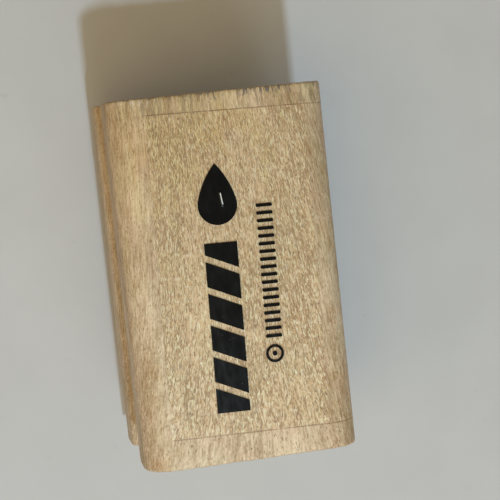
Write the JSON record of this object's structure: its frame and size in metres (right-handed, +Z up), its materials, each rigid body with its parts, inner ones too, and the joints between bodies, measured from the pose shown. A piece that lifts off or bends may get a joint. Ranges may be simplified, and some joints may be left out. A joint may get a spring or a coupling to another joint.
{
  "type": "rubber stamp",
  "caption": "Wood-mounted rubber stamp: grooved maple block with a clear index label, foam cushion and a rubber die that prints a striped candle.",
  "frame": {"origin": "under the middle of the block, on the plane of the rubber die's printing faces", "axes": "+Z up from the printing faces to the label; +Y along the block, towards the printed flame's tip; +X across the block, towards the row of ticks"},
  "size_m": [0.0226, 0.0382, 0.0262],
  "materials": {
    "maple": "satin",
    "clear_film": "gloss",
    "black_ink": "gloss",
    "adhesive": "satin",
    "foam": "matte",
    "red_rubber": "matte"
  },
  "bodies": {
    "block": {"maple_block": "maple", "index_label": "clear_film", "flame_print": "black_ink", "candle_print": "black_ink", "ring_print": "black_ink", "tick_row_print": "black_ink", "upper_adhesive": "adhesive", "foam_cushion": "foam"},
    "die": {"lower_adhesive": "adhesive", "rubber_die": "red_rubber"}
  },
  "joints": [
    {"name": "cushion_press", "type": "slide", "parent": "block", "child": "die", "axis": [0, 0, 1], "range_m": [0, 0.0008], "stiffness_N_per_m": 20000, "deforming": ["foam_cushion"]}
  ]
}
